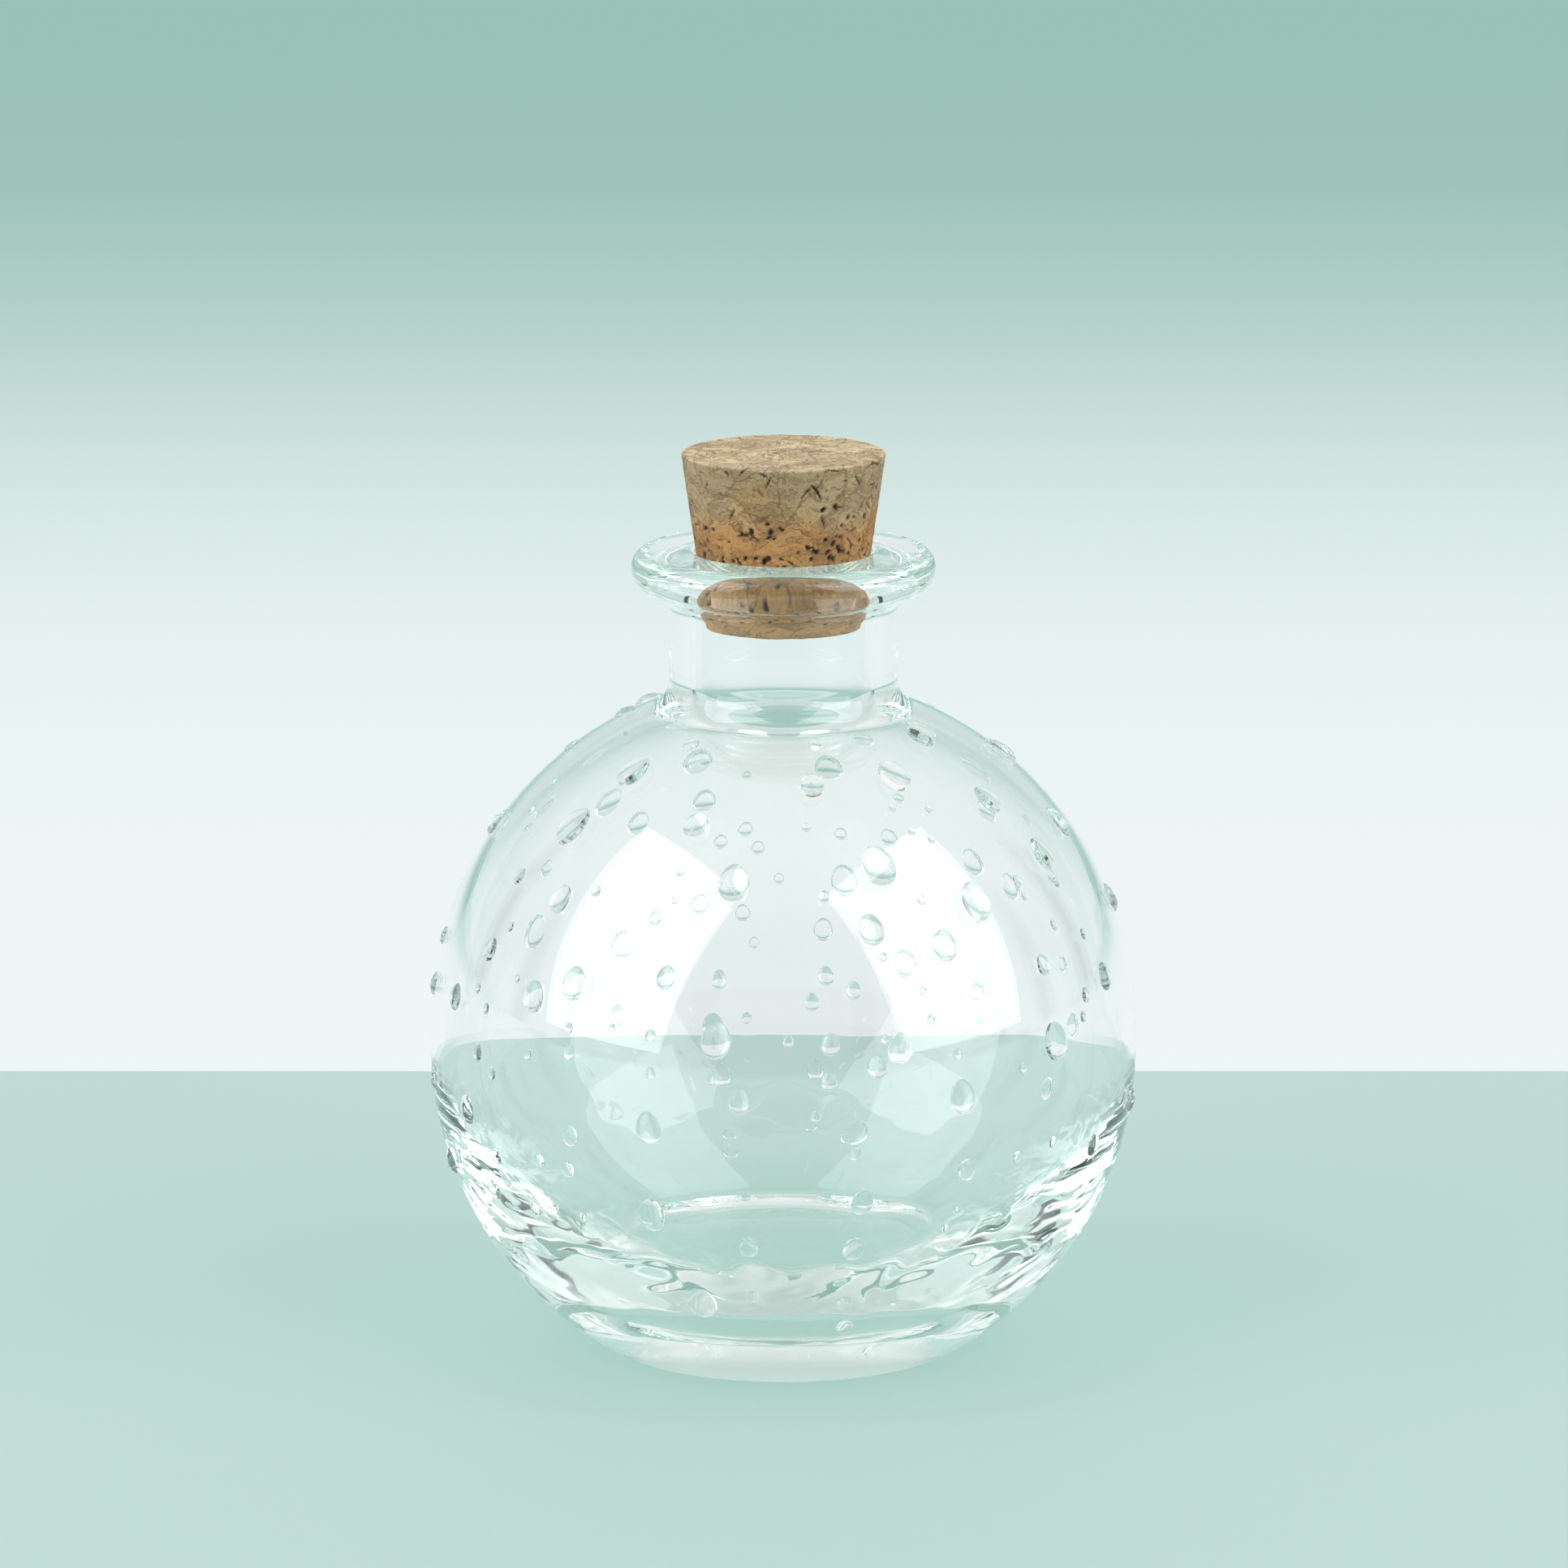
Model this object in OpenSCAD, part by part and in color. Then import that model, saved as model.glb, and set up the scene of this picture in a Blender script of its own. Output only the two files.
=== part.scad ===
// Round glass bottle closed by a tapered cork, with water drops on its wall.
// Millimetres. The origin is the middle of the foot, and +Z runs up the bottle.

/* [Globe] */
// Outer radius of the globe
globe_r = 43; // [36:0.5:52]
// Height of the straight band at the widest part of the globe
globe_band = 2; // [0.5:0.1:5]
// Thickness of the glass in the globe's wall
wall = 1.6; // [1.2:0.1:2.6]

/* [Foot] */
// Outer radius of the flat ring that the bottle stands on
foot_r = 22.8; // [18:0.2:26]
// Width of that flat ring
foot_ring_w = 1.8; // [1:0.1:4]
// Rounding between the flat ring and the globe
heel_r = 0.9; // [0.5:0.1:2]
// Height of the hollow under the bottle
punt_h = 1.6; // [0.8:0.1:3]
// Radius of the floor inside the globe
floor_r = 19.3; // [16:0.1:22]
// How far the floor rises from its edge to its middle
floor_rise = 0.8; // [0.3:0.1:2]
// Rounding of the inner wall from the floor up to the widest part, which thickens the glass downwards
base_round = 28; // [24:0.5:30]

/* [Neck] */
// Outer radius of the neck
neck_r = 13.8; // [13:0.1:16]
// Length of the straight neck
neck_len = 8.7; // [5:0.1:16]
// Radius of the bore through the neck
bore_r = 10.6; // [9:0.1:11.4]
// Rounding between the neck and the globe, outside
shoulder_r = 4; // [2.5:0.1:6]
// Rounding between the bore and the globe, inside
throat_r = 5; // [3:0.1:7]

/* [Lip] */
// Outer radius of the lip
lip_r = 18.35; // [17.5:0.05:21]
// Rounding of the lip's upper edge
lip_top_r = 2.15; // [1.5:0.05:2.6]
// Rounding of the lip's underside
lip_under_r = 2.95; // [2.2:0.05:3.2]
// Rounding between the lip and the neck
lip_fillet_r = 2; // [1.2:0.1:3]
// Rounding of the mouth's inner edge
mouth_r = 0.8; // [0.4:0.1:1.2]

/* [Cork] */
// Length of the cork
cork_len = 20.8; // [18:0.2:30]
// Height of the cork above the lip
cork_stand = 11.8; // [6:0.2:14]
// Growth of the cork's radius for each millimetre upwards
cork_taper = 0.144; // [0.05:0.002:0.16]
// Gap between the cork and the mouth, which stops the two from overlapping
cork_gap = 0.08; // [0.04:0.01:0.3]
// Width of the bevel round the cork's ends
cork_bevel = 0.35; // [0.2:0.05:1]

/* [Drops] */
// Height of a drop, as a share of its width
drop_rise = 0.24; // [0.15:0.01:0.35]
// Gap between a drop and the glass, which stops the two from overlapping
drop_gap = 0.02; // [0.01:0.01:0.05]
// Room between a drop on the back and any on the front
drop_room = 1; // [0.5:0.5:3]

/* [Hidden] */
$fn = 96;

// Neighbouring arcs overlap by this much where they run into each other, so that they cross cleanly.
crossing = 0.002;
reach = 4 * globe_r;

// Levels of the globe's two half balls, which the straight band holds apart
low_z = heel_r + sqrt(pow(globe_r - heel_r, 2) - pow(foot_r, 2));
high_z = low_z + globe_band;

// Where a rounding of radius r between an upright wall at x and a ball of radius ball_r has its middle
function corner(x, r, ball_r) = [x + r, high_z + sqrt(pow(ball_r + r, 2) - pow(x + r, 2))];

shoulder = corner(neck_r, shoulder_r, globe_r);
neck_top = shoulder.y + neck_len;
lip_z = neck_top + sqrt(pow(lip_fillet_r + lip_under_r, 2)
                        - pow(lip_r - lip_under_r - neck_r - lip_fillet_r, 2));
bottle_h = lip_z + lip_top_r;

// Where the heel touches the globe, on the line from the globe's middle through the heel's
heel_touch = [0, low_z] + [foot_r, heel_r - low_z] * globe_r / (globe_r - heel_r);

// The cavity: its ball, the middle of its lower rounding, and the level of the floor's edge
cavity_r = globe_r - wall;
base_mid = [cavity_r - base_round, low_z];
floor_z = low_z - sqrt(pow(base_round, 2) - pow(floor_r - base_mid.x, 2));
throat = corner(bore_r, throat_r, cavity_r);
punt_r = foot_r - foot_ring_w;

// Radius of the arc that rises by h over a half width of w
function arc_r(w, h) = (w * w + h * h) / (2 * h);

// The cork: it touches the mouth just below the rounding
seat_z = bottle_h - mouth_r;
cork_top = bottle_h + cork_stand;
cork_base = cork_top - cork_len;
function cork_r(z) = bore_r - cork_gap + cork_taper * (z - seat_z);

// Drops: their places were set out on a view of the globe from the front, from a little above.
// A step of that view is a 434th of the globe's radius.
steps = 434;
view_rise = 14.6;
view_ratio = 22.8;
view_share = 0.995;

// The back carries the drops of this width or more again, turned half way round, as far out as this
// share of the view.
back_steps = 14;
back_share = 0.92;

// The base of a drop is a short stretch of a circle, so that circle has many sides
base_fn = 3000;

// Each drop: steps to the right of the globe's middle, steps above it, and its width and length in steps
seen_drops = [
    [-197, 394, 26, 34], [-268, 354, 20, 26], [-360, 257, 30, 40], [-425, 114, 18, 24],
    [-436, 54, 22, 30], [-438, -46, 18, 24], [-410, -146, 26, 36], [275, 349, 36, 46],
    [338, 252, 34, 42], [411, 162, 26, 40], [432, -71, 24, 34], [-185, 314, 36, 52],
    [-259, 246, 40, 54], [-114, 346, 18, 26], [-107, 324, 14, 26], [-195, 360, 12, 18],
    [-281, 302, 12, 16], [-309, 266, 12, 20], [-315, 244, 10, 14], [-325, 184, 16, 24],
    [-275, 156, 28, 38], [-231, 166, 13, 15], [-108, 247, 30, 36], [-62, 176, 36, 48],
    [-127, 189, 10, 11], [-134, 154, 9, 9], [-158, 132, 14, 18], [-361, 94, 22, 32],
    [-336, 122, 10, 14], [-403, 36, 22, 38], [-376, 46, 10, 14], [-366, 21, 10, 16],
    [-328, 58, 9, 11], [-308, 36, 30, 40], [-258, 52, 31, 42], [-145, 59, 16, 40],
    [-79, 55, 18, 18], [-264, -3, 10, 14], [-211, -3, 10, 10], [-164, -13, 12, 18],
    [-84, -19, 36, 44], [-377, -33, 16, 26], [-359, -59, 10, 22], [-264, -33, 14, 20],
    [-315, -36, 9, 16], [-164, -59, 12, 14], [-167, -106, 27, 46], [-90, -67, 12, 12],
    [-55, -93, 25, 30], [-389, -83, 24, 42], [-263, -116, 20, 28], [-265, -157, 16, 20],
    [-353, -141, 12, 26], [-300, -146, 10, 24], [-355, -181, 20, 30], [-305, -206, 12, 26],
    [-247, -216, 10, 14], [-162, -213, 32, 44], [-46, -191, 12, 12], [-43, -253, 22, 27],
    [-38, -313, 15, 18], [-100, -321, 38, 46], [35, 296, 33, 34], [136, 308, 38, 50],
    [39, 345, 16, 20], [168, 357, 28, 48], [134, 268, 9, 12], [179, 267, 9, 12],
    [158, 239, 10, 10], [182, 229, 9, 10], [28, 244, 12, 12], [117, 197, 42, 52],
    [251, 279, 28, 46], [318, 212, 32, 46], [288, 178, 12, 18], [297, 159, 9, 11],
    [336, 177, 11, 15], [237, 153, 36, 52], [170, 155, 12, 13], [50, 159, 14, 14],
    [108, 118, 32, 36], [198, 98, 28, 42], [123, 84, 10, 10], [52, 61, 20, 22],
    [86, 43, 18, 22], [35, 29, 18, 20], [320, 75, 18, 30], [333, 124, 10, 16],
    [369, 113, 10, 18], [395, 61, 24, 40], [372, 38, 12, 24], [172, 43, 9, 10],
    [182, 7, 10, 12], [369, 11, 10, 16], [335, -19, 34, 52], [58, -24, 22, 27],
    [6, -20, 14, 14], [125, -17, 10, 12], [115, -51, 26, 26], [56, -69, 20, 22],
    [215, -35, 12, 12], [220, -87, 31, 43], [295, -52, 12, 12], [40, -112, 14, 14],
    [88, -137, 16, 18], [226, -157, 22, 30], [332, -123, 10, 18], [288, -141, 10, 16],
    [381, -126, 20, 34], [52, -191, 14, 14], [97, -197, 26, 34], [213, -208, 10, 12],
    [199, -230, 10, 14], [86, -255, 26, 31], [75, -321, 18, 24], [137, -321, 10, 12],
    [75, -350, 22, 24]];

// The point of a ball of radius 1 that shows at a place of the view, as right, up and towards the viewer
function seen(d) =
    let (uv = [d[0], d[1]] / steps,
         q = pow(min(norm(uv), view_share), 2),
         k = min(1, view_share / norm(uv)),
         f = view_ratio * view_ratio,
         t = (f - sqrt(f * f - (q + f) * (f - 1))) / (q + f))
    [uv.x * k * t, uv.y * k * t, view_ratio * (1 - t)];

// The same point in the bottle's own frame, where the viewer stands towards -Y
function placed(p) = [p.x,
                      p.y * sin(view_rise) - p.z * cos(view_rise),
                      p.y * cos(view_rise) + p.z * sin(view_rise)];

// A drop as its direction from the globe's middle and its radius in millimetres. It is round, and
// covers as much glass as the long drop that it stands for.
function drop(d, turned) =
    let (p = placed(seen(d)))
    [turned ? [-p.x, -p.y, p.z] : p, sqrt(d[2] * d[3]) * globe_r / steps / 2];

// Room between two drops
function room(d, e) = globe_r * norm(d[0] - e[0]) - d[1] - e[1];

// Whether a drop lies clear of the rounding below the neck
function on_globe(d) = globe_r * norm([d[0].x, d[0].y]) - d[1]
    > shoulder.x * globe_r / (globe_r + shoulder_r);

front_drops = [for (d = seen_drops) let (f = drop(d, false)) if (on_globe(f)) f];
back_drops = [for (d = seen_drops)
    let (b = drop(d, true))
    if (on_globe(b) && d[2] >= back_steps && norm([d[0], d[1]]) < back_share * steps
        && min([for (f = front_drops) room(f, b)]) > drop_room) b];

// A part of the profile between two levels
module between(z0, z1) {
    intersection() {
        children();
        translate([0, z0]) square([reach, z1 - z0]);
    }
}

// What fills the corner between an upright wall at x and a ball, left of a rounding of radius r
module corner_fill(x, mid, r, ball_r) {
    difference() {
        polygon([[0, high_z], [mid.x * ball_r / (ball_r + r), high_z + (mid.y - high_z) * ball_r / (ball_r + r)],
                 mid, [x - crossing, mid.y], [0, mid.y]]);
        translate(mid) circle(r + crossing);
    }
}

// Outline of the whole bottle as if it were solid, right of its axis
module outer_profile() {
    polygon([[0, 0], [foot_r + crossing, 0], [foot_r + crossing, heel_r], heel_touch, [0, heel_touch.y]]);
    intersection() {
        translate([foot_r + crossing, heel_r]) circle(heel_r);
        translate([foot_r + crossing, 0]) square(2 * heel_r);
    }
    between(heel_touch.y, low_z) translate([0, low_z]) circle(globe_r);
    translate([0, low_z]) square([globe_r, globe_band]);
    between(high_z, shoulder.y) translate([0, high_z]) circle(globe_r);
    corner_fill(neck_r, shoulder, shoulder_r, globe_r);
    translate([0, high_z]) square([neck_r, lip_z - high_z]);
    translate([0, lip_z]) lip_profile();
}

// The lip, with its widest level at 0: round above and below, with a rounding down to the neck
module lip_profile() {
    drop_h = lip_z - neck_top;
    under_x = lip_r - lip_under_r;
    fillet_x = neck_r + lip_fillet_r;
    square([lip_r - lip_top_r, lip_top_r]);
    intersection() {
        translate([lip_r - lip_top_r, 0]) circle(lip_top_r);
        translate([lip_r - lip_top_r, 0]) square(lip_top_r);
    }
    intersection() {
        translate([under_x, 0]) circle(lip_under_r);
        translate([0, -lip_under_r]) square([lip_r, lip_under_r]);
    }
    difference() {
        polygon([[0, -drop_h], [neck_r - crossing, -drop_h], [fillet_x, -drop_h], [under_x, 0], [0, 0]]);
        translate([fillet_x, -drop_h]) circle(lip_fillet_r + crossing);
    }
}

// Outline of everything hollow above the floor, right of the axis
module cavity_profile() {
    floor_ball = arc_r(floor_r, floor_rise);
    difference() {
        between(0, low_z) {
            translate(base_mid) circle(base_round);
            square([base_mid.x, low_z]);
        }
        translate([0, floor_z + floor_rise - floor_ball]) circle(floor_ball);
    }
    translate([0, low_z]) square([cavity_r, globe_band]);
    between(high_z, throat.y) translate([0, high_z]) circle(cavity_r);
    corner_fill(bore_r, throat, throat_r, cavity_r);
    translate([0, high_z]) square([bore_r, bottle_h - high_z + mouth_r]);
    difference() {
        translate([bore_r, bottle_h - mouth_r]) square([mouth_r, 2 * mouth_r]);
        translate([bore_r + mouth_r, bottle_h - mouth_r]) circle(mouth_r);
    }
}

// The hollow under the bottle, a shallow dome inside the flat ring
module punt_profile() {
    intersection() {
        translate([0, punt_h - arc_r(punt_r, punt_h)]) circle(arc_r(punt_r, punt_h));
        translate([0, -punt_h]) square([foot_r, 3 * punt_h]);
    }
}

module glass_bottle() {
    color([0.84, 0.93, 0.91, 0.45]) rotate_extrude() difference() {
        outer_profile();
        cavity_profile();
        punt_profile();
    }
}

module cork_stopper() {
    color("burlywood") rotate_extrude() polygon([
        [0, cork_base],
        [cork_r(cork_base) - cork_bevel, cork_base],
        [cork_r(cork_base + cork_bevel), cork_base + cork_bevel],
        [cork_r(cork_top - cork_bevel), cork_top - cork_bevel],
        [cork_r(cork_top) - cork_bevel, cork_top],
        [0, cork_top]]);
}

// Half of a drop's outline: a cap of radius a that lies on the globe, whose middle is at 0
module drop_profile(a) {
    seat = globe_r + drop_gap;
    rise = 2 * a * drop_rise;
    ball = arc_r(a, seat + rise - sqrt(seat * seat - a * a));
    intersection() {
        difference() {
            translate([0, seat + rise - ball]) circle(ball);
            circle(seat, $fn = base_fn);
        }
        square([reach, reach]);
    }
}

// A drop of radius a at a direction from the globe's middle
module drop_at(dir, a) {
    translate([0, 0, dir.z > 0 ? high_z : low_z])
        rotate([0, 0, atan2(dir.x, -dir.y)]) rotate([90 - asin(dir.z), 0, 0])
            rotate_extrude() drop_profile(a);
}

module dew_drops() {
    color([0.75, 0.9, 0.95, 0.6]) for (d = concat(front_drops, back_drops)) drop_at(d[0], d[1]);
}

glass_bottle();
cork_stopper();
dew_drops();
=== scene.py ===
"""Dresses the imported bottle: clear glass, a cork with real pits, and water drops on the wall.

Sizes are in millimetres and are turned to metres where a mesh is made. The bottle stands on z = 0
with its axis on +Z, and the camera looks along +Y, a little down.
"""

import logging
import math
import random
from dataclasses import dataclass
from enum import Enum
from typing import Any

import bpy
import numpy as np
from mathutils import Matrix, Vector, noise


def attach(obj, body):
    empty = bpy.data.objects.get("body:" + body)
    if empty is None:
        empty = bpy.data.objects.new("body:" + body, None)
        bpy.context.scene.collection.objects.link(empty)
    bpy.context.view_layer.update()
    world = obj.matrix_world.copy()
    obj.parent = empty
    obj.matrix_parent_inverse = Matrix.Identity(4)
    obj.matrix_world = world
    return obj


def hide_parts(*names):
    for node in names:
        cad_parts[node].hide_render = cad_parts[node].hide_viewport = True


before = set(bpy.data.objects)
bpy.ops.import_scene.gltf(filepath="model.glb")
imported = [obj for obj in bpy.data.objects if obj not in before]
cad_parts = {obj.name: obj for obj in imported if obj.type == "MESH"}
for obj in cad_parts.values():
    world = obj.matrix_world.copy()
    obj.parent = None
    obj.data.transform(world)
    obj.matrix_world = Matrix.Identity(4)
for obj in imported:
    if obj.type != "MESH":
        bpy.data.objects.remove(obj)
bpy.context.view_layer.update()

log = logging.getLogger("bottle")
MM = 0.001
MERGE_MM = 0.001
Point = tuple[float, float]
Colour = tuple[float, float, float, float]


class Shade(Enum):
    """The colours of the object and its surroundings, as sRGB hex values."""

    CORK_GREY = "#B49A76"
    CORK_TAN = "#BF9A6D"
    CORK_ORANGE = "#C48C58"
    # painted top light: the paler colour that the cork's upward faces are mixed to
    CORK_PALE = "#DAC49E"
    # dark bark in the pits and slits, together with painted shade in their hollows
    CORK_BARK = "#3A2517"
    CORK_LINE = "#735437"
    GLASS_DEPTH = "#D3EBE2"
    CLEAR_SHADOW = "#F6FBF9"
    TABLE = "#C2DDD8"
    TABLE_NEAR = "#BAD5D0"
    PAPER_WHITE = "#F1F8F8"
    PAPER_PALE = "#E9F4F2"
    PAPER_MIST = "#D6E7E4"
    PAPER_GREEN = "#B2CFC9"
    PAPER_MINT = "#9AC1B8"
    ROOM_TOP = "#FFFFFF"
    ROOM_SIDE = "#CBD9D5"
    ROOM_FRONT = "#6F7F7A"
    FLAG = "#20282A"


def linear(shade: Shade) -> Colour:
    """Turns an sRGB hex colour to the linear values that a shader wants.

    Args:
        shade: the colour.

    Returns:
        Red, green, blue and an alpha of 1.
    """
    parts = [int(shade.value[i:i + 2], 16) / 255 for i in (1, 3, 5)]
    red, green, blue = (p / 12.92 if p <= 0.04045 else ((p + 0.055) / 1.055) ** 2.4 for p in parts)
    return (red, green, blue, 1.0)


def grey(level: float) -> Colour:
    """A linear grey of that level."""
    return (level, level, level, 1.0)


def per_metre(size_mm: float) -> float:
    """The scale of a pattern whose features are that many millimetres apart."""
    return 1 / (size_mm * MM)


def add(tree: bpy.types.NodeTree, kind: str, inputs: dict[Any, Any] | None = None,
        **settings: Any) -> bpy.types.Node:
    """Adds a shader node with its settings, values and links.

    Args:
        tree: the node tree that gets the node.
        kind: the node's type.
        inputs: a value, or the socket to link, for each named or numbered input.
        settings: the node's own properties.

    Returns:
        The new node.
    """
    node = tree.nodes.new(kind)
    for name, value in settings.items():
        setattr(node, name, value)
    for name, value in (inputs or {}).items():
        if isinstance(value, bpy.types.NodeSocket):
            tree.links.new(value, node.inputs[name])
        else:
            node.inputs[name].default_value = value
    return node


def lets_lamps_through(tree: bpy.types.NodeTree, clear: bpy.types.NodeSocket) -> bpy.types.NodeSocket:
    """A clear shader that casts only a faint shadow, as clear glass and water do.

    Args:
        tree: the node tree.
        clear: the shader's own output.

    Returns:
        The shader socket, which soft light and the light of lamps pass straight through.
    """
    path = add(tree, "ShaderNodeLightPath")
    passes = add(tree, "ShaderNodeMath", {
        0: path.outputs["Is Shadow Ray"], 1: path.outputs["Is Diffuse Ray"]}, operation="MAXIMUM").outputs[0]
    open_air = add(tree, "ShaderNodeBsdfTransparent", {"Color": linear(Shade.CLEAR_SHADOW)})
    return add(tree, "ShaderNodeMixShader", {
        0: passes, 1: clear, 2: open_air.outputs["BSDF"]}).outputs["Shader"]


def new_material(name: str) -> tuple[bpy.types.Material, bpy.types.NodeTree]:
    """Starts an empty node material and returns it with its tree."""
    material = bpy.data.materials.new(name)
    material.use_nodes = True
    material.node_tree.nodes.clear()
    return material, material.node_tree


def ramp(tree: bpy.types.NodeTree, value: bpy.types.NodeSocket, stops: list[tuple[float, Colour]],
         interpolation: str = "LINEAR") -> bpy.types.NodeSocket:
    """Turns a value to a colour through a few stops.

    Args:
        tree: the node tree.
        value: the socket that drives the ramp.
        stops: pairs of a place from 0 to 1 and a linear colour.
        interpolation: how the colours run into each other.

    Returns:
        The colour socket.
    """
    node = add(tree, "ShaderNodeValToRGB", {"Fac": value})
    node.color_ramp.interpolation = interpolation
    elements = node.color_ramp.elements
    while len(elements) < len(stops):
        elements.new(1.0)
    for element, (place, colour) in zip(elements, stops):
        element.position = place
        element.color = colour
    return node.outputs["Color"]


def seen_rays(tree: bpy.types.NodeTree) -> bpy.types.NodeSocket:
    """A socket that is 1 for rays from the camera, a gloss or a clear piece, and 0 for soft light."""
    path = add(tree, "ShaderNodeLightPath")
    direct = add(tree, "ShaderNodeMath", {0: path.outputs["Is Camera Ray"], 1: path.outputs["Is Glossy Ray"]},
                 operation="MAXIMUM").outputs[0]
    return add(tree, "ShaderNodeMath", {0: direct, 1: path.outputs["Is Transmission Ray"]},
               operation="MAXIMUM").outputs[0]


@dataclass(frozen=True)
class SodaLimeGlass:
    """Soda-lime glass, blown in a mould and fire-polished: clear, smooth, faintly green where it is thick."""

    ior: float = 1.52
    depth_per_metre: float = 5.0

    def make(self) -> bpy.types.Material:
        """Builds the material."""
        material, tree = new_material("soda_lime_glass_fire_polished")
        shader = add(tree, "ShaderNodeBsdfPrincipled", {
            "Base Color": grey(1.0), "Roughness": 0.0, "IOR": self.ior, "Transmission Weight": 1.0})
        depth = add(tree, "ShaderNodeVolumeAbsorption", {
            "Color": linear(Shade.GLASS_DEPTH), "Density": self.depth_per_metre})
        surface = lets_lamps_through(tree, shader.outputs["BSDF"])
        add(tree, "ShaderNodeOutputMaterial", {"Surface": surface, "Volume": depth.outputs["Volume"]})
        return material


@dataclass(frozen=True)
class StillWater:
    """Clean water at rest: no colour at this depth and a perfectly smooth skin."""

    ior: float = 1.333

    def make(self) -> bpy.types.Material:
        """Builds the material."""
        material, tree = new_material("clear_water_still")
        shader = add(tree, "ShaderNodeBsdfPrincipled", {
            "Base Color": grey(1.0), "Roughness": 0.0, "IOR": self.ior, "Transmission Weight": 1.0})
        surface = lets_lamps_through(tree, shader.outputs["BSDF"])
        add(tree, "ShaderNodeOutputMaterial", {"Surface": surface})
        return material


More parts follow.
